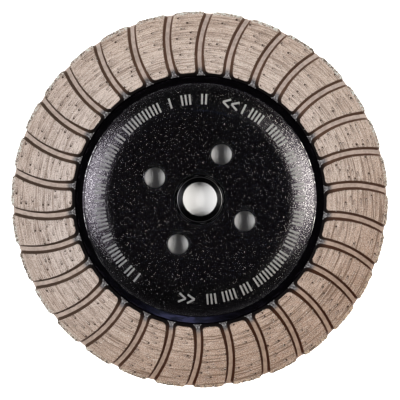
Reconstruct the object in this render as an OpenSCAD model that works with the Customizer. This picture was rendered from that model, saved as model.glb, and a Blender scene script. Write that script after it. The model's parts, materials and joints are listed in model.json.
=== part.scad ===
// Diamond cup wheel for an angle grinder.
// A dished steel cup carries a sintered ring of curved diamond segments, and a threaded bush
// is pressed into the cup's floor from behind.
// The origin is the centre of the bush's back face, where the wheel seats on the spindle's
// shoulder. +Z is the wheel's axis and points out of the cutting face.

/* [Diamond rim] */
// Diameter over the diamond rim
wheel_d = 125; // [110:1:160]
// Width of the rim's diamond-free base, from its bore to its edge
base_w = 20.7; // [16:0.1:23]
// Thickness of the diamond-free base under the segments
base_t = 1.7; // [1:0.1:4]
// Height of the segments above the base, which is the groove depth
segment_h = 3.3; // [1.5:0.1:8]
// Number of segments, and of grooves between them
segment_count = 30; // [20:1:36]
// How far the segments' bore side leans back between foot and face
segment_draft = 0.5; // [0:0.05:1]
// Corner radius of a segment on the bore side
bore_corner_r = 1.1; // [0.4:0.1:1.4]
// Corner radius of a segment at the wheel's edge
edge_corner_r = 0.9; // [0.4:0.1:1.4]

/* [Grooves] */
// Angle of the first groove from +X
groove_start = 5.9; // [0:0.01:11.9]
// Width of a groove between the segments' faces
groove_w = 3.2; // [2:0.1:4]
// Width of a groove's flat floor
groove_floor_w = 1.3; // [0.8:0.05:1.9]
// Sweep radius of a groove's floor
floor_sweep_r = 33; // [28:0.5:60]
// Sweep radius of the face edge on the inside of a groove's bend
inside_sweep_r = 28.6; // [26:0.2:60]
// Sweep radius of the face edge on the outside of a groove's bend
outside_sweep_r = 35.4; // [30:0.2:70]
// Distance from the base's bore to where the groove's floor runs straight out from the axis
floor_turn = 6.2; // [3:0.1:9]
// The same distance for the inside face edge
inside_turn = 8.1; // [3:0.1:10]
// The same distance for the outside face edge
outside_turn = 4.4; // [3:0.1:9]

/* [Steel cup] */
// Thickness of the cup's floor and wall
cup_t = 4.5; // [3:0.1:6]
// Rise of the dished floor from its flat to the foot of the upright wall
dish_rise = 4; // [2:0.1:6]
// Slope of the dished floor where it meets the upright wall
dish_slope = 38; // [25:1:50]
// Height of the upright wall from the dish to the rim's face
mouth_h = 3.5; // [1:0.1:8]
// Width of the bare shoulder between the upright wall and the diamond base
shoulder_w = 2.75; // [1.5:0.05:5]
// Edge radius of the upright wall where it turns into the shoulder
mouth_edge_r = 0.4; // [0.1:0.05:1]
// Thickness of the steel rim at its edge
rim_edge_t = 3; // [2:0.1:5]
// Thickness of the steel rim beside the cup's wall
rim_root_t = 4.2; // [2:0.1:6]
// How far the diamond rim stands out past the steel rim
rim_overhang = 0.4; // [0:0.05:1.5]
// Radius of the hollow corner between the cup's back and its rim
back_corner_r = 2; // [0.5:0.1:3]
// Chamfer on the steel rim's back edge
rim_chamfer = 0.5; // [0.1:0.05:1.2]

/* [Spanner holes] */
// Pitch circle diameter of the holes
hole_pcd = 34.5; // [33:0.1:38]
// Diameter of each hole
hole_d = 7; // [4:0.1:7.5]
// Number of holes
hole_count = 4; // [2:1:6]
// Chamfer at both ends of each hole
hole_chamfer = 0.45; // [0.1:0.05:0.8]
// Angle of the first hole from +X
hole_start = 64.2; // [0:0.1:90]

/* [Threaded bush] */
// Wall diameter of the M14 x 2 thread's core hole
thread_core_d = 12; // [11.8:0.01:12.2]
// Diameter of the countersink at the front
front_sink_d = 15.4; // [14.2:0.1:16.5]
// Depth of the countersink at the front
front_sink_depth = 1; // [0.5:0.1:2]
// Diameter of the countersink at the back
back_sink_d = 14.4; // [14.1:0.1:16]
// Depth of the countersink at the back
back_sink_depth = 1.2; // [0.5:0.1:1.6]
// Diameter of the shank that is pressed through the cup's floor
shank_d = 17.4; // [17:0.1:20]
// Diameter of the collar behind the floor
collar_d = 26; // [23:0.1:26]
// Thickness of the collar behind the floor
collar_t = 5; // [2:0.1:8]
// Chamfer on the collar's edge
collar_chamfer = 0.8; // [0.2:0.05:1.5]
// Radial play between the bush's shank and the cup's floor
bush_play = 0.02; // [0.01:0.01:0.1]

/* [Hidden] */
$fn = 96;

// Points along each long edge, each corner and each end of a segment's outline
SIDE_STEPS = 9;
CORNER_STEPS = 4;
END_STEPS = 3;
// Steps along each round stretch of the cup's section
SECTION_STEPS = 10;
// How far a cutting tool runs past the metal that it cuts
past = 1;

pitch = 360 / segment_count;
wheel_r = wheel_d / 2;
base_bore_r = wheel_r - base_w;
mouth_r = base_bore_r - shoulder_w;
steel_r = wheel_r - rim_overhang;

// Heights above the bush's back face
floor_back_z = collar_t;
floor_z = floor_back_z + cup_t;
wall_foot_z = floor_z + dish_rise;
rim_face_z = wall_foot_z + mouth_h;
groove_z = rim_face_z + base_t;
cutting_z = groove_z + segment_h;

// The dished floor is an arc that leaves the flat tangentially and meets the wall at dish_slope
dish_r = dish_rise / (1 - cos(dish_slope));
dish_centre = [mouth_r - dish_r * sin(dish_slope), floor_z + dish_r];
cup_back_r = dish_r + cup_t;
rim_root_z = rim_face_z - rim_root_t;
rim_edge_z = rim_face_z - rim_edge_t;

// The hollow corner behind the rim touches both the rim's back and the cup's round back
corner_drop = dish_centre.y - rim_root_z + back_corner_r;
corner_reach = sqrt(pow(cup_back_r + back_corner_r, 2) - pow(corner_drop, 2));
back_corner = dish_centre + [corner_reach, -corner_drop];

function segment_name(i) = str("segment_", i < 10 ? "0" : "", i);

// Brings angle a to within half a turn of angle b
function near(a, b) = a + 360 * round((b - a) / 360);

function turned(p, a) = [p.x * cos(a) - p.y * sin(a), p.x * sin(a) + p.y * cos(a)];

function heading(v) = atan2(v.y, v.x);

// Points on an arc about c of radius r, from angle a to angle b the short way round
function arc(c, r, a, b, steps) =
    let (b = near(b, a))
    [for (i = [0 : steps]) c + r * [cos(a + (b - a) * i / steps), sin(a + (b - a) * i / steps)]];

// The point at distance d from the axis and at distance r from c, on the anticlockwise side of c
function meeting(c, r, d) =
    let (l = norm(c), half = acos((d * d + l * l - r * r) / (2 * d * l)))
    d * [cos(heading(c) + half), sin(heading(c) + half)];

// A groove's face edge is an arc that runs straight out from the axis at distance turn from the
// base's bore, where it is side off the groove's own radius, and bends clockwise from there
function edge_centre(turn, side, sweep_r) =
    let (d = base_bore_r + turn)
    turned([d, -sweep_r], asin(side / d));

// Both edges of a groove's floor are arcs about this centre, so the floor keeps its width
floor_centre = [base_bore_r + floor_turn, -floor_sweep_r];

// One segment's outline, from its groove a on the clockwise side to its groove b on the other.
// bore_r is its bore-side radius and corners holds its bore-side and edge corner radii.
function outline(a, a_r, b, b_r, bore_r, corners) =
    let (
        bore_a = meeting(a, a_r + corners[0], bore_r + corners[0]),
        edge_a = meeting(a, a_r + corners[1], wheel_r - corners[1]),
        edge_b = meeting(b, b_r - corners[1], wheel_r - corners[1]),
        bore_b = meeting(b, b_r - corners[0], bore_r + corners[0])
    )
    concat(
        trim(arc(bore_a, corners[0], heading(-bore_a), heading(a - bore_a), CORNER_STEPS)),
        trim(arc(a, a_r, heading(bore_a - a), heading(edge_a - a), SIDE_STEPS)),
        trim(arc(edge_a, corners[1], heading(a - edge_a), heading(edge_a), CORNER_STEPS)),
        trim(arc([0, 0], wheel_r, heading(edge_a), heading(edge_b), END_STEPS)),
        trim(arc(edge_b, corners[1], heading(edge_b), heading(edge_b - b), CORNER_STEPS)),
        trim(arc(b, b_r, heading(edge_b - b), heading(bore_b - b), SIDE_STEPS)),
        trim(arc(bore_b, corners[0], heading(bore_b - b), heading(-bore_b), CORNER_STEPS)),
        trim(arc([0, 0], bore_r, heading(bore_b), heading(bore_a), END_STEPS))
    );

// A list without its last item, which the next stretch of the outline repeats
function trim(list) = [for (i = [0 : len(list) - 2]) list[i]];

foot_outline = outline(
    floor_centre,
    floor_sweep_r + groove_floor_w / 2,
    turned(floor_centre, pitch),
    floor_sweep_r - groove_floor_w / 2,
    base_bore_r,
    [bore_corner_r, edge_corner_r]
);

face_outline = outline(
    edge_centre(outside_turn, groove_w / 2, outside_sweep_r),
    outside_sweep_r,
    turned(edge_centre(inside_turn, -groove_w / 2, inside_sweep_r), pitch),
    inside_sweep_r,
    base_bore_r + segment_draft,
    [bore_corner_r, edge_corner_r]
);

// A solid between two outlines with as many points each, one at height z0 and one at height z1
module loft(lower, upper, z0, z1) {
    n = len(lower);
    polyhedron(
        points = concat([for (p = lower) [p.x, p.y, z0]], [for (p = upper) [p.x, p.y, z1]]),
        faces = concat(
            [[for (i = [0 : n - 1]) i]],
            [[for (i = [n - 1 : -1 : 0]) n + i]],
            [for (i = [0 : n - 1]) [i, n + i, n + (i + 1) % n, (i + 1) % n]]
        )
    );
}

// One diamond segment: a curved block with leaning walls
module segment(i) {
    color([0.68, 0.6, 0.54])
    rotate([0, 0, groove_start + (i - 1) * pitch])
    loft(foot_outline, face_outline, groove_z, cutting_z);
}

// The diamond-free sintered ring, whose face shows as the floor of every groove
module rim_base() {
    color([0.62, 0.56, 0.51])
    rotate_extrude()
    translate([base_bore_r, rim_face_z])
    square([base_w, base_t]);
}

// Half of the cup's section, to the right of the axis
function cup_section() = concat(
    [[shank_d / 2 + bush_play, floor_back_z]],
    arc(dish_centre, cup_back_r, -90, heading(back_corner - dish_centre), SECTION_STEPS),
    arc(back_corner, back_corner_r, heading(dish_centre - back_corner), 90, SECTION_STEPS),
    [
        [steel_r - rim_chamfer, rim_edge_z],
        [steel_r, rim_edge_z + rim_chamfer],
        [steel_r, rim_face_z]
    ],
    arc([mouth_r + mouth_edge_r, rim_face_z - mouth_edge_r], mouth_edge_r, 90, 180, SECTION_STEPS),
    arc(dish_centre, dish_r, dish_slope - 90, -90, SECTION_STEPS),
    [[shank_d / 2 + bush_play, floor_z]]
);

// A chamfered hole through the cup's floor
module spanner_hole() {
    translate([hole_pcd / 2, 0, floor_back_z - past])
    cylinder(d = hole_d, h = cup_t + 2 * past);
    for (end = [[floor_z, 0], [floor_back_z, 180]])
        translate([hole_pcd / 2, 0, end[0]])
        rotate([end[1], 0, 0])
        translate([0, 0, -hole_chamfer])
        cylinder(d1 = hole_d, d2 = hole_d + 4 * hole_chamfer, h = 2 * hole_chamfer);
}

// The steel cup: flat floor, dished bowl, upright wall and the rim that carries the diamond ring
module steel_cup() {
    color([0.06, 0.06, 0.065])
    difference() {
        rotate_extrude() polygon(cup_section());
        for (i = [0 : hole_count - 1])
            rotate([0, 0, hole_start + i * 360 / hole_count]) spanner_hole();
    }
}

// Half of the bush's section, to the right of the axis
function bush_section() = [
    [thread_core_d / 2, back_sink_depth],
    [back_sink_d / 2, 0],
    [collar_d / 2 - collar_chamfer, 0],
    [collar_d / 2, collar_chamfer],
    [collar_d / 2, floor_back_z],
    [shank_d / 2, floor_back_z],
    [shank_d / 2, floor_z],
    [front_sink_d / 2, floor_z],
    [thread_core_d / 2, floor_z - front_sink_depth]
];

// The threaded bush: a collar behind the floor and a shank flush with the floor's front
module threaded_bush() {
    color([0.12, 0.12, 0.13])
    rotate_extrude() polygon(bush_section());
}

steel_cup();
threaded_bush();
rim_base();
for (i = [1 : segment_count])
    segment(i);
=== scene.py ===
"""Looks of a diamond cup wheel: a dished black steel cup, a threaded bush, and a sintered ring of
curved diamond segments. Metres, +Z out of the cutting face, origin at the bush's back face."""
import json
import math

import bmesh
import bpy
from mathutils import Matrix, Vector, noise

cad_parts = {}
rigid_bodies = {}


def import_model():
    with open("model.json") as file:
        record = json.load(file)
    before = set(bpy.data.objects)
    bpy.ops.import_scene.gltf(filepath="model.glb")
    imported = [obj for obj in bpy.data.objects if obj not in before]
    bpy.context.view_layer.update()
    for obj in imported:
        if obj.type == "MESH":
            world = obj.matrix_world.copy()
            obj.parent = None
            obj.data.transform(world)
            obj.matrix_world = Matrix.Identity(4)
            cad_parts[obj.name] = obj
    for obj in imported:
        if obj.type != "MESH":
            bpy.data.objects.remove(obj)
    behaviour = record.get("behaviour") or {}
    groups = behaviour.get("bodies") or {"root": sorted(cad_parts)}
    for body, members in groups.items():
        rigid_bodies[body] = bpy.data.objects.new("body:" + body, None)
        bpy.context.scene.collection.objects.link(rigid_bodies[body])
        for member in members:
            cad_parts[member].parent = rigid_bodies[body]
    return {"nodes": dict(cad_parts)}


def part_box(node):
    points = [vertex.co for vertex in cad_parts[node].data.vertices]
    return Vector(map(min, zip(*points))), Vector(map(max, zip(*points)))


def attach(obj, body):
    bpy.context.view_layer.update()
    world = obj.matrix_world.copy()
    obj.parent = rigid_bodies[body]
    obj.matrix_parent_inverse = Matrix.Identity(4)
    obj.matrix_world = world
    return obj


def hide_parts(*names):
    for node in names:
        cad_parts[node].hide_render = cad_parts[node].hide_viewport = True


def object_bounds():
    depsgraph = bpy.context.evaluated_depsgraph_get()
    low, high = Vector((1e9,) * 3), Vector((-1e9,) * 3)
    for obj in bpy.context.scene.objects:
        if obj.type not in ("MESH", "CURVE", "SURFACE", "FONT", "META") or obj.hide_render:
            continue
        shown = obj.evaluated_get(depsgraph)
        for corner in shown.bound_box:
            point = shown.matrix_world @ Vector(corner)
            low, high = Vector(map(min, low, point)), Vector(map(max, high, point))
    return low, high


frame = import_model()
cad_low, cad_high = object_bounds()
MM = 0.001


# ---------------------------------------------------------------- Camera
# The camera stands almost straight over the cutting face, a little behind and to the right of the
# wheel's axis, and looks down at the face's centre.
camera_height = 320 * MM
camera_right = 5.6 * MM
camera_back = 10 * MM
aim_right = 0.32 * MM
aim_back = 0.22 * MM
field_width = 132.6 * MM
sensor_width = 36.0

camera_data = bpy.data.cameras.new("camera")
camera_data.sensor_width = sensor_width
camera_data.clip_start = 10 * MM
camera = bpy.data.objects.new("camera", camera_data)
bpy.context.scene.collection.objects.link(camera)
camera.location = (camera_right, camera_back, cad_high.z + camera_height)
aim = Vector((aim_right, aim_back, cad_high.z))
camera_data.lens = sensor_width * (camera.location - aim).length / field_width
sight = (camera.location - aim).normalized()
level = Vector((0, 1, 0)).cross(sight).normalized()
camera.rotation_mode = "QUATERNION"
camera.rotation_quaternion = Matrix((level, sight.cross(level), sight)).transposed().to_quaternion()
bpy.context.scene.camera = camera


# ---------------------------------------------------------------- Steel cup
# The body is one turned and pressed steel dish: flat floor, round bowl, upright wall and the rim
# that carries the diamond ring. It is blasted, coated gloss black, and turned smooth on the shoulder.
cup_low, cup_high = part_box("steel_cup")
wheel_r = cad_high.x
steel_r = cup_high.x
floor_back_z = cup_low.z
rim_face_z = cup_high.z
cup_t = 4.5 * MM
dish_rise = 4 * MM
dish_slope = math.radians(38)
mouth_r = 39.05 * MM
mouth_edge_r = 0.4 * MM
shoulder_start_r = mouth_r + 1.25 * mouth_edge_r
rim_edge_t = 3 * MM
rim_root_t = 4.2 * MM
back_corner_r = 2 * MM
rim_chamfer = 0.5 * MM
cup_bore_r = 8.72 * MM
cup_steps = 288
hole_ring_r = 17.25 * MM
hole_r = 3.5 * MM
hole_chamfer = 0.45 * MM
hole_start = math.radians(64.2)
hole_count = 4
hole_steps = 64
coat_dark = (0.036, 0.029, 0.042)
coat_light = (0.053, 0.0445, 0.06)
coat_glint = (0.235, 0.23, 0.237)
hole_edge_steel = (0.5, 0.5, 0.51)
lip_steel = (0.45, 0.45, 0.46)
gloss = 0.08
blast_rough = 0.1
smear_rough = 0.14
blast_grain = 0.09 * MM
blast_tilt = 0.29
glint_share = 0.3
steep_share = 0.045
steep_factor = 2.85

floor_z = floor_back_z + cup_t
dish_r = dish_rise / (1 - math.cos(dish_slope))
dish_centre = Vector((mouth_r - dish_r * math.sin(dish_slope), floor_z + dish_r))


def arc(centre, r, start, end, steps):
    """Points on an arc about centre, from angle start to angle end in degrees."""
    turns = [math.radians(start + (end - start) * i / steps) for i in range(steps + 1)]
    return [(centre[0] + r * math.cos(t), centre[1] + r * math.sin(t)) for t in turns]


def ring_faces(steps, count):
    """Faces between steps copies of a closed ring of count points that stand round the axis."""
    faces = []
    for s in range(steps):
        here, ahead = s * count, (s + 1) % steps * count
        for i in range(count):
            j = (i + 1) % count
            faces.append((here + i, ahead + i, ahead + j, here + j))
    return faces


def turned(name, section, steps):
    """A closed section of (radius, height) points, listed anticlockwise, turned about the axis."""
    turns = [math.tau * s / steps for s in range(steps)]
    corners = [(r * math.cos(t), r * math.sin(t), z) for t in turns for r, z in section]
    mesh = bpy.data.meshes.new(name)
    mesh.from_pydata(corners, [], ring_faces(steps, len(section)))
    return mesh


def finished(name, mesh, material, crease=30):
    """A piece from its mesh, shaded smooth except across creases sharper than crease degrees."""
    mesh.materials.clear()
    mesh.materials.append(material)
    mesh.shade_smooth()
    mesh.set_sharp_from_angle(angle=math.radians(crease))
    piece = bpy.data.objects.new(name, mesh)
    bpy.context.scene.collection.objects.link(piece)
    return piece


def plain_mesh(piece):
    """The piece's mesh with its modifiers applied."""
    graph = bpy.context.evaluated_depsgraph_get()
    return bpy.data.meshes.new_from_object(piece.evaluated_get(graph))


def cup_section():
    """Half of the cup's section. The shoulder has a point close to the lip, which keeps its
    shading flat up to there."""
    rim_root_z = rim_face_z - rim_root_t
    rim_back_z = rim_face_z - rim_edge_t
    cup_back_r = dish_r + cup_t
    drop = dish_centre.y - rim_root_z + back_corner_r
    reach = math.sqrt((cup_back_r + back_corner_r) ** 2 - drop**2)
    corner = dish_centre + Vector((reach, -drop))
    touch = math.degrees(math.atan2(-drop, reach))
    lip = (mouth_r + mouth_edge_r, rim_face_z - mouth_edge_r)
    slope = math.degrees(dish_slope)
    return [
        (cup_bore_r, floor_back_z),
        *arc(dish_centre, cup_back_r, -90, touch, 24),
        *arc(corner, back_corner_r, 180 + touch, 90, 10),
        (steel_r - rim_chamfer, rim_back_z),
        (steel_r, rim_back_z + rim_chamfer),
        (steel_r, rim_face_z),
        (shoulder_start_r, rim_face_z),
        *arc(lip, mouth_edge_r, 90, 180, 8),
        *arc(dish_centre, dish_r, slope - 90, -90, 32),
        (cup_bore_r, floor_z),
    ]


def hole_cutters():
    """The chamfered spanner holes, each as the solid that is cut away."""
    over = 1 * MM
    wide = hole_r + hole_chamfer + over
    section = [
        (0.0, floor_back_z - over),
        (wide, floor_back_z - over),
        (hole_r, floor_back_z + hole_chamfer),
        (hole_r, floor_z - hole_chamfer),
        (wide, floor_z + over),
        (0.0, floor_z + over),
    ]
    mesh = turned("hole_cutter", section, hole_steps)
    shape = bmesh.new()
    shape.from_mesh(mesh)
    bmesh.ops.remove_doubles(shape, verts=shape.verts, dist=1e-7)
    bmesh.ops.dissolve_degenerate(shape, edges=shape.edges, dist=1e-7)
    bmesh.ops.recalc_face_normals(shape, faces=shape.faces)
    for i in range(hole_count):
        turn = hole_start + math.tau * i / hole_count
        place = (hole_ring_r * math.cos(turn), hole_ring_r * math.sin(turn), 0)
        copy = shape.copy()
        bmesh.ops.translate(copy, verts=copy.verts, vec=place)
        part = bpy.data.meshes.new("part")
        copy.to_mesh(part)
        copy.free()
        yield part
    shape.free()


class NodeTree:
    """Short names for building a node tree of any kind."""

    def __init__(self, tree):
        self.nodes = tree.nodes
        self.links = tree.links
        self.nodes.clear()

    def node(self, kind, *values, **settings):
        """Adds a node. Values go to its enabled inputs in order, and None skips an input."""
        node = self.nodes.new(kind)
        for key, value in settings.items():
            setattr(node, key, value)
        for socket, value in zip([s for s in node.inputs if s.enabled], values):
            self.feed(socket, value)
        return node

    def feed(self, socket, value):
        if isinstance(value, bpy.types.NodeSocket):
            self.links.new(value, socket)
        elif value is not None:
            socket.default_value = value

    def out(self, kind, *values, **settings):
        """Adds a node and gives its first enabled output."""
        return next(s for s in self.node(kind, *values, **settings).outputs if s.enabled)

    def maths(self, operation, *values, clamp=False):
        return self.out("ShaderNodeMath", *values, operation=operation, use_clamp=clamp)

    def plus(self, a, b):
        return self.maths("ADD", a, b)

    def minus(self, a, b):
        return self.maths("SUBTRACT", a, b)

    def times(self, a, b):
        return self.maths("MULTIPLY", a, b)

    def length(self, a, b):
        return self.maths("SQRT", self.plus(self.times(a, a), self.times(b, b)))


class Finish(NodeTree):
    """A node material that is built up step by step on Object coordinates."""

    def __init__(self, name):
        self.material = bpy.data.materials.new(name)
        self.material.use_nodes = True
        super().__init__(self.material.node_tree)
        self.place = self.node("ShaderNodeTexCoord").outputs["Object"]
        self.x, self.y, self.z = self.node("ShaderNodeSeparateXYZ", self.place).outputs
        self.r = self.length(self.x, self.y)

    def step(self, value, start, end, low=0.0, high=1.0):
        """Goes smoothly from low to high while value goes from start to end."""
        return self.out("ShaderNodeMapRange", value, start, end, low, high,
                        interpolation_type="SMOOTHSTEP")

    def cloud(self, size, detail=2.0, roughness=0.5, vector=None):
        """Noise from 0 to 1 with lumps of that size."""
        place = vector or self.place
        return self.out("ShaderNodeTexNoise", place, 1 / size, detail, roughness)

    def along(self, width, length):
        """Coordinates for marks of that width and length that run round the axis."""
        u = self.maths("DIVIDE", self.r, width)
        span = self.times(self.r, length / wheel_r)
        v = self.maths("DIVIDE", self.x, span)
        w = self.maths("DIVIDE", self.y, span)
        return self.out("ShaderNodeCombineXYZ", u, v, w)

    def mix(self, share, a, b):
        """Goes from colour a to colour b with the share."""
        a, b = ((*colour, 1.0) if isinstance(colour, tuple) else colour for colour in (a, b))
        return self.out("ShaderNodeMix", share, a, b, data_type="RGBA")

    def bump(self, height, depth, normal=None):
        node = self.node("ShaderNodeBump")
        node.inputs["Distance"].default_value = depth
        self.feed(node.inputs["Height"], height)
        self.feed(node.inputs["Normal"], normal)
        return node.outputs[0]

    def facets(self, size, tilt, shiny_share, steep_share, steep):
        """Grains of that size, each with a normal that leans at random. A share of them is shiny,
        and among these a share leans steep times as far. Gives the normal and the shiny grains."""
        cells = self.node("ShaderNodeTexVoronoi", self.place, 1 / size)
        red, green, blue = self.node("ShaderNodeSeparateColor", cells.outputs["Color"]).outputs
        shiny = self.maths("GREATER_THAN", blue, 1 - shiny_share)
        far = self.maths("GREATER_THAN", blue, 1 - steep_share)
        lean = self.times(tilt, self.maths("MULTIPLY_ADD", far, steep - 1, 1.0))
        across = self.times(self.minus(red, 0.5), lean)
        along = self.times(self.minus(green, 0.5), lean)
        offset = self.out("ShaderNodeCombineXYZ", across, along, 0.0)
        normal = self.node("ShaderNodeNewGeometry").outputs["Normal"]
        added = self.out("ShaderNodeVectorMath", normal, offset, operation="ADD")
        return self.out("ShaderNodeVectorMath", added, operation="NORMALIZE"), shiny

    def from_copies(self, start, count, centre):
        """Distance to the nearest copy of a centre, of which count stand round the axis. The
        first one is turned by start."""
        turn = self.minus(self.maths("ARCTAN2", self.y, self.x), start)
        turn = self.maths("WRAP", turn, math.pi / count, -math.pi / count)
        along = self.times(self.maths("COSINE", turn), self.r)
        aside = self.times(self.maths("SINE", turn), self.r)
        return self.length(self.minus(along, centre[0]), self.minus(aside, centre[1]))

    def product(self, a, b):
        """The product of two colours."""
        return self.out("ShaderNodeVectorMath", a, b, operation="MULTIPLY")

    def tinted(self, colour, share, tint, start=(1.0, 1.0, 1.0)):
        """The colour times a tint, which goes from start to tint with the share."""
        return self.product(colour, self.mix(share, start, tint))

    def shade(self, **inputs):
        """Ends the tree in one Principled shader and gives the material."""
        shader = self.node("ShaderNodeBsdfPrincipled")
        for key, value in inputs.items():
            value = (*value, 1.0) if isinstance(value, tuple) else value
            self.feed(shader.inputs[key.replace("_", " ")], value)
        self.node("ShaderNodeOutputMaterial", shader.outputs[0])
        return self.material


def black_coat():
    """Gloss black over blasted grains that glint, smooth but smeared on the shoulder, and worn to
    bare steel in places along the holes' edges and the mouth's lip."""
    finish = Finish("black_coat")
    shoulder = finish.times(finish.step(finish.z, rim_face_z - 0.3 * MM, rim_face_z),
                            finish.step(finish.r, mouth_r - 0.2 * MM, mouth_r + 0.2 * MM))
    blasted = finish.minus(1.0, shoulder)
    tilt = finish.times(blasted, blast_tilt)
    grain, shiny = finish.facets(blast_grain, tilt, glint_share, steep_share, steep_factor)
    colour = finish.mix(finish.cloud(4 * MM, 3.0), coat_dark, coat_light)
    glints = finish.step(finish.cloud(0.4 * MM, 2.0, 0.6), 0.4, 0.62, 0.25, 1.85)
    colour = finish.mix(finish.times(shiny, blasted), colour, finish.product(coat_glint, glints))

    off = finish.from_copies(hole_start, hole_count, (hole_ring_r, 0.0))
    off = finish.maths("ABSOLUTE", finish.minus(off, hole_r + hole_chamfer))
    worn = finish.times(finish.step(off, 0.12 * MM, 0.04 * MM),
                        finish.step(finish.cloud(3 * MM), 0.38, 0.56))
    colour = finish.mix(worn, colour, hole_edge_steel)
    lip = finish.times(finish.step(finish.z, rim_face_z - mouth_edge_r, rim_face_z),
                       finish.step(finish.r, mouth_r + mouth_edge_r, mouth_r + 0.5 * mouth_edge_r))
    lip = finish.times(lip, finish.step(finish.cloud(1.6 * MM, 3.0), 0.5, 0.6))
    colour = finish.mix(lip, colour, lip_steel)

    smears = finish.cloud(1.0, 3.0, 0.6, vector=finish.along(0.8 * MM, 5 * MM))
    smears = finish.times(shoulder, finish.step(smears, 0.42, 0.58, 0.0, smear_rough))
    rough = finish.plus(finish.plus(finish.times(blasted, blast_rough), smears), gloss)
    return finish.shade(Base_Color=colour, Metallic=1.0, Roughness=rough, Normal=grain,
                        Coat_Weight=0.3, Coat_Roughness=gloss)


coat = black_coat()
blank = finished("steel_cup_blank", turned("steel_cup_body", cup_section(), cup_steps), coat)
cutters = []
for number, part in enumerate(hole_cutters()):
    cutter = bpy.data.objects.new("cutter", part)
    bpy.context.scene.collection.objects.link(cutter)
    cutters.append(cutter)
    cut = blank.modifiers.new(f"hole_{number}", "BOOLEAN")
    cut.operation = "DIFFERENCE"
    cut.solver = "EXACT"
    cut.object = cutter
drilled = plain_mesh(blank)
for used in (blank, *cutters):
    bpy.data.objects.remove(used)
cup = finished("steel_cup_body", drilled, coat)
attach(cup, "root")
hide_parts("steel_cup")


# ---------------------------------------------------------------- Threaded bush
# The bush is a turned steel collar with a shank pressed through the cup's floor. Its bore has an
# M14 x 2 thread that is cut between two countersinks, and it is coated black like the cup.
bush_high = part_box("threaded_bush")[1]
collar_r = bush_high.x
collar_chamfer = 0.8 * MM
collar_edge = 0.2 * MM
shank_r = 8.7 * MM
thread_core_r = 6 * MM
thread_pitch = 2 * MM
thread_depth = 1.05 * MM
thread_flat = 0.12
front_sink_r = 7.7 * MM
front_sink_depth = 1 * MM
back_sink_r = 7.2 * MM
back_sink_depth = 1.2 * MM
thread_rows = 84
thread_steps = 144
bush_dark = (0.008, 0.008, 0.009)
bush_light = (0.02, 0.02, 0.022)
ring_steel = (0.5, 0.5, 0.52)
worn_ring_r = front_sink_r + 0.55 * MM


def threaded_bore(share, turn):
    """Radius of the bore at a share of its height, where the thread cuts into the wall."""
    z = share * bush_high.z
    rise = bush_high.z - z
    back_sink = back_sink_r - (back_sink_r - thread_core_r) * z / back_sink_depth
    front_sink = front_sink_r - (front_sink_r - thread_core_r) * rise / front_sink_depth
    wave = (z / thread_pitch - turn / math.tau) % 1.0
    flank = 1 - abs(2 * wave - 1)
    depth = thread_depth * min(1.0, max(0.0, (flank - thread_flat) / (1 - 2 * thread_flat)))
    return max(back_sink, front_sink, thread_core_r + depth)


def bush_mesh():
    outer = [
        (collar_r - collar_chamfer, 0.0),
        (collar_r, collar_chamfer),
        (collar_r, floor_back_z - collar_edge),
        (collar_r - collar_edge, floor_back_z),
        (shank_r, floor_back_z),
        (shank_r, bush_high.z),
    ]
    shares = [1 - row / thread_rows for row in range(thread_rows + 1)]
    corners = []
    for s in range(thread_steps):
        turn = math.tau * s / thread_steps
        ring = outer + [(threaded_bore(share, turn), share * bush_high.z) for share in shares]
        corners += [(r * math.cos(turn), r * math.sin(turn), z) for r, z in ring]
    mesh = bpy.data.meshes.new("threaded_bush_body")
    mesh.from_pydata(corners, [], ring_faces(thread_steps, len(outer) + len(shares)))
    return mesh


def bush_coat():
    """Black coat with fine turning rings, worn to bare steel on the countersink's edge and in
    patches on a ring outside it."""
    finish = Finish("bush_coat")
    rings = finish.cloud(1.0, 2.0, vector=finish.along(0.25 * MM, 30 * MM))
    colour = finish.mix(rings, bush_dark, bush_light)
    top = finish.step(finish.z, bush_high.z - 0.3 * MM, bush_high.z - 0.15 * MM)
    patchy = finish.step(finish.cloud(3 * MM), 0.42, 0.56)
    for r, width, share in ((front_sink_r, 0.09 * MM, 0.7), (worn_ring_r, 0.06 * MM, patchy)):
        off = finish.maths("ABSOLUTE", finish.minus(finish.r, r))
        worn = finish.times(finish.step(off, width, 0.4 * width), top)
        colour = finish.mix(finish.times(worn, share), colour, ring_steel)
    normal = finish.bump(rings, 0.01 * MM)
    return finish.shade(Base_Color=colour, Metallic=1.0, Roughness=0.32, Normal=normal)


bush = finished("threaded_bush_body", bush_mesh(), bush_coat())
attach(bush, "root")
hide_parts("threaded_bush")


# ---------------------------------------------------------------- Base of the diamond rim
# Under the segments lies a ring of the same sintered metal without diamond, brazed to the cup's
# rim. Its pressed face is the floor of every groove, greyed by the cup's coat beside the bore.
base_bore_r = 41.8 * MM
base_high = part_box("rim_base")[1]
groove_z = base_high.z
base_rows = 20
base_steps = 360
base_wear = 0.15 * MM
base_dent = 0.25 * MM
dents_per_metre = 900
segment_names = sorted(name for name in frame["nodes"] if name.startswith("segment_"))
segment_count = len(segment_names)
groove_start = math.radians(5.9)
groove_floor_w = 1.3 * MM
floor_sweep_r = 33 * MM
floor_turn = 6.2 * MM
floor_centre = Vector((base_bore_r + floor_turn, -floor_sweep_r))
pressed_dark = (0.37, 0.299, 0.254)
pressed_pale = (0.50, 0.407, 0.349)
# The next three give painted light: the rim is browner and darker towards the lower right, along this
# way, and paler and cooler towards the upper left.
pressed_shaded = (0.86, 0.74, 0.65)
lit_side_tint = (1.02, 1.02, 1.05)
shade_way = (0.5, -0.87)
dust_dark = (0.05, 0.045, 0.048)
dust_grey = (0.22, 0.21, 0.215)
# Painted shade for the corners of the grooves beside the bore.
groove_corner_shade = (0.05, 0.046, 0.048)
tip_grey = (0.42, 0.415, 0.42)
bore_black = (0.012, 0.010, 0.012)


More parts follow.
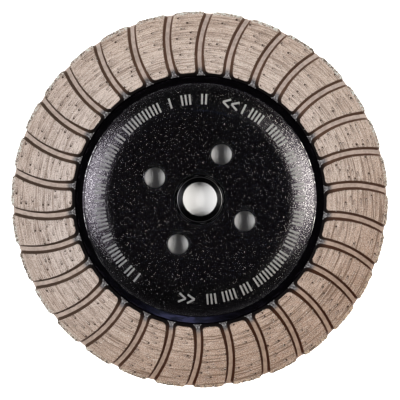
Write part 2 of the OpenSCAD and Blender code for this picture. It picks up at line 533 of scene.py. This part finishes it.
def base_mesh():
    rings = [base_bore_r + (wheel_r - base_bore_r) * i / base_rows for i in range(base_rows + 1)]
    top = groove_z - base_wear
    section = [(base_bore_r, rim_face_z), (wheel_r, rim_face_z)]
    section += arc((wheel_r - base_wear, top), base_wear, 0, 90, 3)
    section += [(r, groove_z) for r in reversed(rings[1:-1])]
    section += arc((base_bore_r + base_wear, top), base_wear, 90, 180, 3)
    mesh = turned("rim_base_ring", section, base_steps)
    for corner in mesh.vertices:
        r = math.hypot(corner.co.x, corner.co.y)
        if r > wheel_r - 0.5 * MM and corner.co.z > rim_face_z + 0.1 * MM:
            dent = max(0.0, noise.noise(corner.co * dents_per_metre)) * base_dent
            corner.co.x *= 1 - dent / r
            corner.co.y *= 1 - dent / r
    return mesh


def painted_light_tint(finish, colour, shaded_tint):
    """Paler and cooler towards the upper left of the rim and browner and darker towards the lower
    right: painted light that falls stronger from the upper left.
    """
    across = finish.plus(finish.times(finish.x, shade_way[0]), finish.times(finish.y, shade_way[1]))
    return finish.tinted(colour, finish.step(across, -0.1 * wheel_r, wheel_r), shaded_tint, lit_side_tint)


def pressed_sinter():
    """Smooth sinter, with the coat's black dust near the bore and painted shade in the corners of
    the grooves there, and painted light that makes it paler towards the upper left and browner
    towards the lower right. Each groove's floor ends near the bore in two pale, spread tips."""
    finish = Finish("pressed_sinter")
    soft = finish.cloud(1.2 * MM, 4.0, 0.6)
    fine = finish.cloud(0.2 * MM, 2.0, 0.6)
    colour = finish.mix(finish.step(soft, 0.35, 0.65), pressed_dark, pressed_pale)
    # Painted light: paler and cooler towards the upper left, browner and darker towards the lower
    # right.
    colour = painted_light_tint(finish, colour, pressed_shaded)
    dusty = finish.step(finish.r, base_bore_r + 3.6 * MM, base_bore_r + 1.6 * MM)
    patches = finish.step(finish.cloud(0.5 * MM, 3.0, 0.7), 0.4, 0.6)
    colour = finish.mix(dusty, colour, finish.mix(patches, dust_dark, dust_grey))

    off = finish.from_copies(groove_start, segment_count, floor_centre)
    off = finish.maths("ABSOLUTE", finish.minus(off, floor_sweep_r))
    inward = finish.minus(finish.r, base_bore_r)
    # Painted shade darkens the corners of the grooves beside the bore.
    corner = finish.times(finish.step(off, 0.45 * MM, 0.85 * MM),
                          finish.step(inward, 3 * MM, 1.5 * MM))
    colour = finish.mix(corner, colour, groove_corner_shade)
    flare = finish.step(inward, 1.2 * MM, 0.1 * MM, 0.4 * MM, 1.15 * MM)
    tips = finish.maths("ABSOLUTE", finish.minus(off, flare))
    tips = finish.times(finish.step(tips, 0.26 * MM, 0.08 * MM),
                        finish.step(inward, 1.3 * MM, 0.9 * MM))
    colour = finish.mix(tips, colour, tip_grey)

    beside_bore = finish.step(finish.r, base_bore_r + 0.4 * MM, base_bore_r + 0.1 * MM)
    below_face = finish.step(finish.z, groove_z - 0.02 * MM, groove_z - 0.12 * MM)
    colour = finish.mix(finish.times(beside_bore, below_face), colour, bore_black)
    normal = finish.bump(fine, 0.02 * MM)
    return finish.shade(Base_Color=colour, Metallic=0.0, Roughness=0.6, Normal=normal,
                        Specular_IOR_Level=0.0)


base = finished("rim_base_ring", base_mesh(), pressed_sinter())
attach(base, "root")
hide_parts("rim_base")


# ---------------------------------------------------------------- Diamond segments
# Thirty curved blocks of sintered metal and diamond stand on the base, between swept grooves. They
# are pressed with leaning, rounded walls, and their faces are ground flat and worn at the edges.
cutting_z = cad_high.z
segment_draft = 0.5 * MM
bore_corner_r = 1.1 * MM
edge_corner_r = 0.9 * MM
groove_w = 3.2 * MM
inside_sweep_r = 28.6 * MM
outside_sweep_r = 35.4 * MM
inside_turn = 8.1 * MM
outside_turn = 4.4 * MM
edge_wear = 0.16 * MM
grit_height = 0.06 * MM
chip_size = 0.6 * MM
chip_depth = 2.2 * MM
wave_size = 2.5 * MM
wave_depth = 0.05 * MM
rows_out = 46
rows_across = 30
row_crowding = 0.9
segment_pitch = math.tau / segment_count
face_dark = (0.47, 0.372, 0.31)
face_pale = (0.59, 0.482, 0.41)
# Painted light: the faces are tinted browner and darker by this towards the lower right.
face_shaded = (0.73, 0.565, 0.455)
inner_tint = (1.04, 1.04, 1.04)
outer_tint = (0.90, 0.83, 0.765)
# The next two give painted light and shade: darker low down near the edge, bluer on the left.
low_shade_tint = (0.84, 0.82, 0.80)
left_cool_light = (0.99, 1.04, 1.12)
streak_dark = (0.2, 0.14, 0.105)
streak_pale = (0.72, 0.64, 0.575)
grain_dark = (0.17, 0.125, 0.10)
grain_pale = (0.76, 0.68, 0.62)
scratch_brown = (0.15, 0.09, 0.06)
# The next three are painted shade on the tails' flanks, a painted highlight on their ridges and
# painted shade in the pits.
tail_flank_shade = (0.07, 0.04, 0.028)
ridge_highlight = (0.66, 0.58, 0.52)
pit_shade = (0.04, 0.02, 0.013)
chip_pale = (0.58, 0.59, 0.53)
# Painted light: the pale chips are tinted browner and darker by this towards the lower right.
chip_shaded = (0.86, 0.66, 0.52)
chip_dark = (0.09, 0.075, 0.06)
# The next three hold painted shade: the walls' dark brown is partly their pressed skin and partly
# painted shade, and they go darker and redder towards the lower right and darker and bluer on the
# left.
wall_skin_and_shade = (0.19, 0.106, 0.069)
wall_shaded = (0.40, 0.19, 0.11)
wall_left_shade = (0.6, 0.7, 0.76)
wall_soot = (0.010, 0.008, 0.008)
wall_end = (0.2, 0.16, 0.13)
outer_wall = (0.42, 0.33, 0.28)


def sweep_centre(turn, side, sweep_r):
    """Centre of a face edge's arc. The edge runs straight out from the axis at distance turn from
    the base's bore, where it is side off the groove's own radius, and bends clockwise from there."""
    reach = base_bore_r + turn
    lean = math.asin(side / reach)
    return Vector((reach * math.cos(lean) + sweep_r * math.sin(lean),
                   reach * math.sin(lean) - sweep_r * math.cos(lean)))


def edge_turn(centre, sweep_r, r):
    """Angle at which an arc about that centre crosses radius r, anticlockwise of the centre."""
    reach = centre.length
    half = math.acos((r * r + reach * reach - sweep_r * sweep_r) / (2 * r * reach))
    return math.atan2(centre.y, centre.x) + half


outside_centre = sweep_centre(outside_turn, groove_w / 2, outside_sweep_r)
inside_centre = sweep_centre(inside_turn, -groove_w / 2, inside_sweep_r)


def corner_inset(distance, radius):
    """How far a rounded corner pulls an edge in, at that distance from the corner's end."""
    short = max(0.0, radius - distance)
    return radius - math.sqrt(max(0.0, radius * radius - short * short))


def segment_point(out, across, depth):
    """A point of the segment's face grid, carried down its leaning walls by depth."""
    share = depth / (cutting_z - groove_z)
    worn = max(0.0, edge_wear - depth)
    inset = edge_wear - math.sqrt(edge_wear**2 - worn**2)
    low = base_bore_r + segment_draft * (1 - share) + inset
    high = wheel_r - inset
    eased = out - row_crowding * math.sin(math.tau * out) / math.tau
    r = low + (high - low) * eased
    half = groove_floor_w / 2
    face_a = edge_turn(outside_centre, outside_sweep_r, r)
    foot_a = edge_turn(floor_centre, floor_sweep_r + half, r)
    face_b = edge_turn(inside_centre, inside_sweep_r, r)
    foot_b = edge_turn(floor_centre, floor_sweep_r - half, r)
    pull = inset + corner_inset(r - low, bore_corner_r) + corner_inset(high - r, edge_corner_r)
    start = face_a + (foot_a - face_a) * share + pull / r
    end = face_b + (foot_b - face_b) * share + segment_pitch - pull / r
    turn = start + (end - start) * across
    return (r * math.cos(turn), r * math.sin(turn), cutting_z - depth)


def segment_mesh():
    """One segment at the wheel's first groove, with a gridded face and round top edges."""
    count = rows_across + 1
    corners = [
        segment_point(i / rows_out, j / rows_across, 0)
        for i in range(rows_out + 1)
        for j in range(count)
    ]
    faces = [
        (i * count + j, (i + 1) * count + j, (i + 1) * count + j + 1, i * count + j + 1)
        for i in range(rows_out)
        for j in range(rows_across)
    ]
    rim = [(i, 0) for i in range(rows_out)]
    rim += [(rows_out, j) for j in range(rows_across)]
    rim += [(i, rows_across) for i in range(rows_out, 0, -1)]
    rim += [(0, j) for j in range(rows_across, 0, -1)]
    height = cutting_z - groove_z
    depths = [edge_wear * (1 - math.cos(math.radians(a))) for a in (30, 60, 90)]
    depths += [edge_wear + (height - edge_wear) * s for s in (0.2, 0.5, 0.8, 1)]
    above = [i * count + j for i, j in rim]
    for depth in depths:
        first = len(corners)
        corners += [segment_point(i / rows_out, j / rows_across, depth) for i, j in rim]
        below = [first + k for k in range(len(rim))]
        for k in range(len(rim)):
            n = (k + 1) % len(rim)
            faces.append((above[k], below[k], below[n], above[n]))
        above = below
    faces.append(tuple(reversed(above)))
    mesh = bpy.data.meshes.new("segment")
    mesh.from_pydata(corners, [], faces)
    return mesh


class ShapeTree(NodeTree):
    """A Geometry Nodes tree with named inputs, for one modifier."""

    def __init__(self, name, inputs):
        self.group = bpy.data.node_groups.new(name, "GeometryNodeTree")
        super().__init__(self.group)
        sockets = self.group.interface
        sockets.new_socket("Geometry", in_out="OUTPUT", socket_type="NodeSocketGeometry")
        sockets.new_socket("Geometry", in_out="INPUT", socket_type="NodeSocketGeometry")
        self.ids = {
            label: sockets.new_socket(label, in_out="INPUT", socket_type="NodeSocket" + kind)
            .identifier
            for label, kind in inputs.items()
        }
        self.given = self.node("NodeGroupInput").outputs

    def noise(self, place, size, detail):
        """Noise from 0 to 1 with lumps of that size, which changes with the tree's seed."""
        scale = self.maths("DIVIDE", 1.0, size)
        return self.out("ShaderNodeTexNoise", place, self.given["Seed"], scale, detail,
                        noise_dimensions="4D")

    def end(self, geometry, finish):
        """Gives the geometry its material and ends the tree."""
        self.node("NodeGroupOutput", self.out("GeometryNodeSetMaterial", geometry, None, finish))

    def made(self, name, mesh, values):
        """The plain mesh that the tree makes of mesh with these input values."""
        holder = bpy.data.objects.new(name, mesh)
        bpy.context.scene.collection.objects.link(holder)
        modifier = holder.modifiers.new(name, "NODES")
        modifier.node_group = self.group
        for label, value in values.items():
            modifier[self.ids[label]] = value
        result = plain_mesh(holder)
        bpy.data.objects.remove(holder)
        result.name = name
        return result


def segment_ring_tree():
    """Sets the copies round the axis, then chips their outer edges and waves their faces."""
    tree = ShapeTree("segment_ring", {
        "Count": "Int", "Start": "Float", "Wheel Radius": "Float", "Face Height": "Float",
        "Face Drop": "Float", "Chip Size": "Float", "Chip Depth": "Float", "Wave Size": "Float",
        "Wave Depth": "Float", "Seed": "Float", "Finish": "Material",
    })
    given = tree.given
    spots = tree.out("GeometryNodePoints", given["Count"])
    index = tree.out("GeometryNodeInputIndex")
    turn = tree.times(tree.maths("DIVIDE", index, given["Count"]), math.tau)
    rotation = tree.out("ShaderNodeCombineXYZ", 0.0, 0.0, tree.plus(turn, given["Start"]))
    copies = tree.out("GeometryNodeInstanceOnPoints", spots, None, given["Geometry"], None, None,
                      rotation)
    ring = tree.out("GeometryNodeRealizeInstances", copies)
    place = tree.out("GeometryNodeInputPosition")
    flat = tree.out("ShaderNodeVectorMath", place, (1.0, 1.0, 0.0), operation="MULTIPLY")
    radius = tree.node("ShaderNodeVectorMath", flat, operation="LENGTH").outputs["Value"]
    outward = tree.out("ShaderNodeVectorMath", flat, operation="NORMALIZE")
    z = tree.node("ShaderNodeSeparateXYZ", place).outputs["Z"]

    lump = tree.noise(place, given["Chip Size"], 3.0)
    lump = tree.maths("MAXIMUM", tree.minus(lump, 0.5), 0.0)
    inner = tree.minus(given["Wheel Radius"], given["Chip Size"])
    near_edge = tree.out("ShaderNodeMapRange", radius, inner, given["Wheel Radius"], 0.0, 1.0)
    chip = tree.times(tree.times(lump, near_edge), given["Chip Depth"])

    wave = tree.times(tree.noise(place, given["Wave Size"], 2.0), given["Wave Depth"])
    sink = tree.plus(tree.plus(wave, given["Face Drop"]), chip)
    sink = tree.times(sink, tree.maths("COMPARE", z, given["Face Height"], 1e-6))

    inward = tree.out("ShaderNodeVectorMath", outward, tree.times(chip, -1.0), operation="SCALE")
    down = tree.out("ShaderNodeCombineXYZ", 0.0, 0.0, tree.times(sink, -1.0))
    shift = tree.out("ShaderNodeVectorMath", inward, down, operation="ADD")
    tree.end(tree.out("GeometryNodeSetPosition", ring, None, None, shift), given["Finish"])
    return tree


def pits(finish, across, along, head, tail):
    """Pits that are spaced across and along the way round, with a head of that radius and a
    tail of that length, which trails clockwise. Gives the heads, the tails' dark flanks and
    the ridges between them, as masks for painted shade in the pits and on the flanks and a
    painted highlight on the ridges."""
    way = finish.times(finish.maths("ARCTAN2", finish.y, finish.x), (base_bore_r + wheel_r) / 2)
    spot = finish.out("ShaderNodeCombineXYZ", finish.maths("DIVIDE", finish.r, across),
                      finish.maths("DIVIDE", way, along), 0.0)
    cells = finish.node("ShaderNodeTexVoronoi", spot, 1.0, voronoi_dimensions="2D")
    offset = finish.out("ShaderNodeVectorMath", spot, cells.outputs["Position"],
                        operation="SUBTRACT")
    side, ahead, _ = finish.node("ShaderNodeSeparateXYZ", offset).outputs
    wander = finish.times(finish.minus(finish.cloud(0.6 * MM), 0.5), 0.5 * head)
    side = finish.maths("ABSOLUTE", finish.plus(finish.times(side, across), wander))
    ahead = finish.times(ahead, along)
    behind = finish.times(ahead, -1.0)
    chance, size, _ = finish.node("ShaderNodeSeparateColor", cells.outputs["Color"]).outputs
    there = finish.step(chance, 0.25, 0.6)
    radius = finish.times(finish.step(size, 0.0, 1.0, 0.7, 1.4), head)
    share = finish.maths("DIVIDE", finish.length(side, ahead), radius)
    heads = finish.times(there, finish.step(share, 1.25, 0.75))
    fading = finish.times(finish.step(behind, tail, 0.0), finish.step(behind, 0.0, head))
    fading = finish.times(fading, there)
    ridges = finish.times(fading, finish.step(side, 0.6 * head, 0.2 * head))
    flanks = finish.times(finish.step(side, 0.3 * head, 0.8 * head),
                          finish.step(side, 1.6 * head, 1.0 * head))
    return heads, finish.times(fading, flanks), ridges


def ground_sinter():
    """Ground faces with streaks, scratches and comet-tailed pits, chips along the wheel's edge,
    and darker walls that are as they left the press, darkened further by painted shade. The
    pits and the tails' flanks hold painted shade and the tails' ridges a painted highlight,
    and painted light makes the faces paler and bluer at the upper left and left, and darker
    low down near the edge and towards the lower right."""
    finish = Finish("ground_sinter")
    streaks = finish.cloud(1.0, 3.0, 0.7, vector=finish.along(0.4 * MM, 7 * MM))
    broad = finish.cloud(1.0, 3.0, 0.55, vector=finish.along(1.6 * MM, 14 * MM))
    grain = finish.cloud(0.3 * MM, 3.0, 0.65)
    outward = finish.step(finish.r, base_bore_r + 3 * MM, wheel_r)
    # Painted light and shade: the faces are darker low down near the edge, bluer on the left, and
    # browner and darker towards the lower right.
    low_shade_share = finish.times(outward, finish.step(finish.y, 0.0, -wheel_r))
    left_side = finish.step(finish.x, -0.2 * wheel_r, -0.9 * wheel_r)
    colour = painted_light_tint(finish, finish.mix(broad, face_dark, face_pale), face_shaded)
    colour = finish.tinted(colour, outward, outer_tint, inner_tint)
    colour = finish.tinted(colour, low_shade_share, low_shade_tint)
    colour = finish.tinted(colour, left_side, left_cool_light)
    colour = finish.mix(finish.step(streaks, 0.38, 0.52, 0.62, 0.0), colour, streak_dark)
    colour = finish.mix(finish.step(streaks, 0.54, 0.66, 0.0, 0.4), colour, streak_pale)
    colour = finish.mix(finish.step(grain, 0.48, 0.6, 0.0, 0.5), colour, grain_pale)
    colour = finish.mix(finish.step(grain, 0.5, 0.36, 0.0, 0.5), colour, grain_dark)

    scratches = finish.cloud(1.0, 2.0, 0.6, vector=finish.along(0.45 * MM, 24 * MM))
    slant = finish.minus(finish.x, finish.times(finish.y, 1.7))
    scratched = finish.step(slant, 0.0, 1.6 * wheel_r, 0.5, 0.85)
    scratches = finish.times(finish.step(scratches, 0.46, 0.38), scratched)
    colour = finish.mix(scratches, colour, scratch_brown)

    heads, flanks, ridges = pits(finish, across=1.8 * MM, along=4.5 * MM, head=0.24 * MM,
                                 tail=3 * MM)
    small_heads, small_flanks, small_ridges = pits(finish, across=1 * MM, along=2.4 * MM,
                                                   head=0.13 * MM, tail=1.6 * MM)
    # Painted shade on the tails' flanks and in the pits, and a painted highlight on the ridges
    # between the flanks.
    tails = finish.maths("MAXIMUM", flanks, finish.times(small_flanks, 0.6))
    colour = finish.mix(finish.times(tails, 0.95), colour, tail_flank_shade)
    pale = finish.maths("MAXIMUM", ridges, small_ridges)
    colour = finish.mix(finish.times(pale, 0.3), colour, ridge_highlight)
    pit = finish.maths("MAXIMUM", heads, finish.times(small_heads, 0.7))
    colour = finish.mix(finish.times(pit, 0.95), colour, pit_shade)

    edge = finish.step(finish.r, wheel_r - 1.4 * MM, wheel_r - 0.5 * MM)
    chips = finish.cloud(chip_size, 3.0, 0.6)
    pale_chips = finish.times(edge, finish.step(chips, 0.5, 0.56))
    # Painted light: the pale chips are browner and darker towards the lower right.
    colour = finish.mix(pale_chips, colour, painted_light_tint(finish, chip_pale, chip_shaded))
    dark_chips = finish.times(edge, finish.step(chips, 0.47, 0.41))
    colour = finish.mix(dark_chips, colour, chip_dark)

    # Painted shade: the walls are darkened beyond their pressed skin's brown, more so on the left and
    # towards the lower right.
    side = finish.tinted(painted_light_tint(finish, wall_skin_and_shade, wall_shaded), left_side, wall_left_shade)
    near_bore = finish.step(finish.r, base_bore_r + 4 * MM, base_bore_r)
    side = finish.mix(near_bore, side, wall_soot)
    side = finish.mix(finish.times(edge, 0.6), side, wall_end)
    outside = finish.step(finish.r, wheel_r - 0.45 * MM, wheel_r - 0.2 * MM)
    side = finish.mix(outside, side, outer_wall)
    height = finish.minus(cutting_z, finish.z)
    facing = finish.node("ShaderNodeNewGeometry").outputs["True Normal"]
    upright = finish.step(finish.node("ShaderNodeSeparateXYZ", facing).outputs["Z"], 0.92, 0.7)
    wall = finish.times(finish.step(height, 0.12 * MM, 0.2 * MM), upright)
    colour = finish.mix(wall, colour, side)

    depth = finish.minus(finish.minus(finish.times(streaks, 0.3), pit), tails)
    relief = finish.bump(grain, 0.03 * MM, finish.bump(depth, 0.05 * MM))
    return finish.shade(Base_Color=colour, Metallic=0.03, Roughness=0.6, Normal=relief,
                        Specular_IOR_Level=0.05)


sinter = ground_sinter()
ring_mesh = segment_ring_tree().made("diamond_segment_ring", segment_mesh(), {
    "Count": segment_count, "Start": groove_start, "Wheel Radius": wheel_r,
    "Face Height": cutting_z, "Face Drop": grit_height, "Chip Size": chip_size,
    "Chip Depth": chip_depth, "Wave Size": wave_size, "Wave Depth": wave_depth, "Seed": 3.0,
    "Finish": sinter,
})
segments = finished("diamond_segment_ring", ring_mesh, sinter, 40)
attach(segments, "root")
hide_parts(*segment_names)


# ---------------------------------------------------------------- Diamond grit
# The crystals of synthetic diamond do the cutting. The sintered metal holds them, and they stand a
# little proud of the ground faces. Most are dull and yellowish, and some are clear.
grit_size = 0.2 * MM
grit_per_area = 1.2e5
grit_margin = 0.6 * MM
grit_dull = (0.45, 0.42, 0.34)
grit_clear = (0.95, 0.95, 0.92)


def grit_tree():
    """Scatters crystals over the ground faces, sunk until their tips reach the cutting height."""
    tree = ShapeTree("diamond_grit", {
        "Density": "Float", "Size": "Float", "Tip Height": "Float", "Edge Radius": "Float",
        "Seed": "Int", "Finish": "Material",
    })
    given = tree.given
    place = tree.out("GeometryNodeInputPosition")
    z = tree.node("ShaderNodeSeparateXYZ", place).outputs["Z"]
    reach = tree.node("ShaderNodeVectorMath", place, operation="LENGTH").outputs["Value"]
    low = tree.minus(given["Tip Height"], given["Size"])
    on_face = tree.maths("GREATER_THAN", z, low)
    inside = tree.maths("LESS_THAN", reach, given["Edge Radius"])
    spots = tree.node("GeometryNodeDistributePointsOnFaces", given["Geometry"],
                      tree.times(on_face, inside), given["Density"], given["Seed"])
    scale = tree.out("FunctionNodeRandomValue", 0.6, 1.0, None, given["Seed"])
    radius = tree.times(scale, given["Size"])
    x, y, _ = tree.node("ShaderNodeSeparateXYZ", place).outputs
    sunk = tree.out("ShaderNodeCombineXYZ", x, y, tree.minus(given["Tip Height"], radius))
    spots = tree.out("GeometryNodeSetPosition", spots.outputs["Points"], None, sunk)
    crystal = tree.out("GeometryNodeMeshIcoSphere", 1.0, 1)
    turn = tree.out("FunctionNodeRandomValue", (0.0, 0.0, 0.0), (6.0, 6.0, 6.0), None,
                    given["Seed"], data_type="FLOAT_VECTOR")
    grains = tree.out("GeometryNodeInstanceOnPoints", spots, None, crystal, None, None, turn, radius)
    tree.end(tree.out("GeometryNodeRealizeInstances", grains), given["Finish"])
    return tree


def diamond():
    finish = Finish("diamond")
    clear = finish.step(finish.cloud(2 * MM), 0.5, 0.62)
    colour = finish.mix(clear, grit_dull, grit_clear)
    return finish.shade(Base_Color=colour, Roughness=0.12, IOR=2.0)


crystals = diamond()
grit_mesh = grit_tree().made("diamond_grit", ring_mesh, {
    "Density": grit_per_area, "Size": grit_size, "Tip Height": cutting_z,
    "Edge Radius": wheel_r - grit_margin, "Seed": 5, "Finish": crystals,
})
grit = finished("diamond_grit", grit_mesh, crystals, 5)
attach(grit, "root")


# ---------------------------------------------------------------- Printed marks
# Plain grey bars and pairs of arrowheads are printed round the bowl, and the arrowheads point the
# way that the wheel turns. The print follows the bowl and is a film of paint.
mark_ring_r = 34.4 * MM
mark_height = 3.4 * MM
mark_width = 0.6 * MM
mark_film = 0.02 * MM
mark_root = 0.06 * MM
mark_steps = 6
mark_start = math.radians(84)
arrow_start = math.radians(69.5)
group_pitch = math.radians(190.5)
bar_count = 132
bar_pitch = math.radians(2.3)
bar_share = 0.8
arrow_count = 4
arrow_pitch = math.radians(5)
arrow_reach = 1.2 * MM
arrow_half_height = 1.4 * MM
print_dark = (0.30, 0.30, 0.31)
print_pale = (0.68, 0.68, 0.69)


def printed_mark(name, strokes):
    """A flat mark on the +X side, from strokes between points (along, outward) of its middle."""
    corners = []
    faces = []
    for start, end in strokes:
        start, end = Vector(start), Vector(end)
        side = (end - start).orthogonal().normalized() * mark_width / 2
        first = len(corners)
        for i in range(mark_steps + 1):
            middle = start.lerp(end, i / mark_steps)
            for edge, z in ((side, 0), (side, 1), (-side, 1), (-side, 0)):
                along, out = middle + edge
                corners.append((mark_ring_r + out, along, mark_film * z - mark_root * (1 - z)))
        last = first + 4 * mark_steps
        for here in range(first, last, 4):
            for k in range(4):
                n = (k + 1) % 4
                faces.append((here + k, here + 4 + k, here + 4 + n, here + n))
        faces += [(first, first + 1, first + 2, first + 3), (last + 3, last + 2, last + 1, last)]
    mesh = bpy.data.meshes.new(name)
    mesh.from_pydata(corners, [], faces)
    shape = bmesh.new()
    shape.from_mesh(mesh)
    bmesh.ops.recalc_face_normals(shape, faces=shape.faces)
    shape.to_mesh(mesh)
    shape.free()
    return mesh


def mark_tree():
    """Sets copies of a mark round the axis in groups, drops some, and bends them to the bowl."""
    tree = ShapeTree("mark_ring", {
        "Count": "Int", "Group": "Int", "Start": "Float", "Pitch": "Float",
        "Group Pitch": "Float", "Share": "Float", "Seed": "Int", "Dish Radius": "Float",
        "Dish Centre": "Float", "Dish Height": "Float", "Finish": "Material",
    })
    given = tree.given
    index = tree.out("GeometryNodeInputIndex")
    number = tree.maths("MODULO", index, given["Group"])
    group = tree.maths("FLOOR", tree.maths("DIVIDE", index, given["Group"]))
    turn = tree.maths("MULTIPLY_ADD", number, given["Pitch"], given["Start"])
    turn = tree.maths("MULTIPLY_ADD", group, given["Group Pitch"], turn)
    rotation = tree.out("ShaderNodeCombineXYZ", 0.0, 0.0, turn)
    kept = tree.out("FunctionNodeRandomValue", given["Share"], None, given["Seed"],
                    data_type="BOOLEAN")
    spots = tree.out("GeometryNodePoints", given["Count"])
    copies = tree.out("GeometryNodeInstanceOnPoints", spots, kept, given["Geometry"], None, None,
                      rotation)
    flat = tree.out("GeometryNodeRealizeInstances", copies)
    x, y, z = tree.node("ShaderNodeSeparateXYZ", tree.out("GeometryNodeInputPosition")).outputs
    radius = tree.maths("SQRT", tree.maths("MULTIPLY_ADD", x, x, tree.times(y, y)))
    out = tree.minus(radius, given["Dish Centre"])
    square = tree.times(given["Dish Radius"], given["Dish Radius"])
    drop = tree.maths("SQRT", tree.minus(square, tree.times(out, out)))
    height = tree.minus(tree.plus(z, given["Dish Height"]), drop)
    bent = tree.out("ShaderNodeCombineXYZ", x, y, height)
    tree.end(tree.out("GeometryNodeSetPosition", flat, None, bent), given["Finish"])
    return tree


def grey_print():
    finish = Finish("grey_print")
    colour = finish.mix(finish.cloud(0.4 * MM, 3.0, 0.7), print_dark, print_pale)
    return finish.shade(Base_Color=colour, Roughness=0.6)


bar = ((0.0, -mark_height / 2), (0.0, mark_height / 2))
tip = (arrow_reach, 0.0)
wings = ((-arrow_reach, -arrow_half_height), (-arrow_reach, arrow_half_height))
arrowhead = ((wings[0], tip), (tip, wings[1]))
ink = grey_print()
print_tree = mark_tree()
marks = []
for name, strokes, count, start, pitch, share in (
    ("bars", (bar,), bar_count, mark_start, bar_pitch, bar_share),
    ("arrows", arrowhead, arrow_count, arrow_start, arrow_pitch, 1.0),
):
    mesh = print_tree.made("printed_" + name, printed_mark(name, strokes), {
        "Count": count, "Group": count // 2, "Start": start, "Pitch": pitch,
        "Group Pitch": group_pitch, "Share": share, "Seed": 2, "Dish Radius": dish_r,
        "Dish Centre": dish_centre.x, "Dish Height": dish_centre.y, "Finish": ink,
    })
    marks.append(finished("printed_" + name, mesh, ink))
    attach(marks[-1], "root")


# ---------------------------------------------------------------- Studio
# The wheel lies on its bush on a white table, under a dark ceiling. Each lamp lights only one group:
# the rim has a box overhead and one on each side, the hub has side boxes that stand lower and a
# small blue card, and the table has a pair of its own.
floor_half = 3.0
table_drop = 0.02 * MM
table_white = (0.8, 0.8, 0.8)
box_reach = 0.75
hub_box_back = 0.12
horizon = 0.1
ceiling = 0.3
ceiling_light = 0.03

floor_mesh = bpy.data.meshes.new("floor")
floor_mesh.from_pydata(
    [(x * floor_half, y * floor_half, -table_drop)
     for x, y in ((-1, -1), (1, -1), (1, 1), (-1, 1))],
    [], [(0, 1, 2, 3)],
)
floor = bpy.data.objects.new("floor", floor_mesh)
bpy.context.scene.collection.objects.link(floor)


def table_top():
    """White, with a glow outside the wheel that only the camera and reflections see."""
    finish = Finish("white_table")
    path = finish.node("ShaderNodeLightPath").outputs
    seen = finish.maths("ADD", path["Is Camera Ray"], path["Is Glossy Ray"], clamp=True)
    seen = finish.maths("ADD", seen, path["Is Transmission Ray"], clamp=True)
    open_table = finish.step(finish.r, wheel_r - 4 * MM, wheel_r, 0.0, 0.6)
    return finish.shade(Base_Color=table_white, Roughness=0.9, Specular_IOR_Level=0.1,
                        Emission_Color=(1.0, 1.0, 1.0),
                        Emission_Strength=finish.times(seen, open_table))


floor_mesh.materials.append(table_top())


def group(name, *pieces):
    """A group of pieces that a lamp can be kept to."""
    lit = bpy.data.collections.new(name)
    for piece in pieces:
        lit.objects.link(piece)
    return lit


def softbox(name, place, width, length, power, colour, lit):
    """A panel that faces the wheel and lights only the pieces in the group lit."""
    data = bpy.data.lights.new(name, "AREA")
    data.shape = "RECTANGLE"
    data.size = width
    data.size_y = length
    data.energy = power
    data.color = colour
    lamp = bpy.data.objects.new(name, data)
    bpy.context.scene.collection.objects.link(lamp)
    lamp.location = place
    lamp.rotation_mode = "QUATERNION"
    lamp.rotation_quaternion = Vector(place).to_track_quat("Z", "Y")
    lamp.light_linking.receiver_collection = lit


rim = group("rim", base, segments, grit)
hub = group("hub", cup, bush, *marks)
table = group("table", floor)

for side, hub_power, hub_tint, rim_power, table_power, tint in (
    (-1, 5.4, (1.0, 0.97, 0.87), 1.1, 10.5, (1.0, 0.99, 0.98)),
    (1, 3.6, (1.0, 0.99, 1.0), 0.9, 10.5, (1.0, 0.97, 0.93)),
):
    for lit, angle, back, width, length, power, colour in (
        (hub, 57, hub_box_back, 0.42, 0.70, hub_power, hub_tint),
        (rim, 48, 0.0, 0.60, 1.00, rim_power, tint),
        (table, 42, 0.0, 0.30, 0.50, table_power, tint),
    ):
        lean = math.radians(angle)
        spot = (side * box_reach * math.sin(lean), -back, box_reach * math.cos(lean))
        softbox("side_box", spot, width, length, power, colour, lit)
softbox("top_box", place=(-0.02, 0.05, 0.6), width=0.18, length=0.18, power=3.08,
        colour=(1.0, 1.0, 0.99), lit=rim)
softbox("blue_card", place=(-0.028, -0.132, 0.61), width=0.05, length=0.03, power=0.006,
        colour=(0.5, 0.6, 1.0), lit=hub)

# The world is white at the horizon and darkens to the ceiling's light above it.
world = bpy.data.worlds.new("studio")
bpy.context.scene.world = world
world.use_nodes = True
sky = NodeTree(world.node_tree)
ray = sky.node("ShaderNodeTexCoord").outputs["Generated"]
height = sky.node("ShaderNodeSeparateXYZ", ray).outputs["Z"]
light = sky.out("ShaderNodeMapRange", height, horizon, ceiling, 1.0, ceiling_light,
                interpolation_type="SMOOTHSTEP")
sky.node("ShaderNodeOutputWorld", sky.out("ShaderNodeBackground", None, light))

bpy.context.scene.view_settings.view_transform = "Standard"
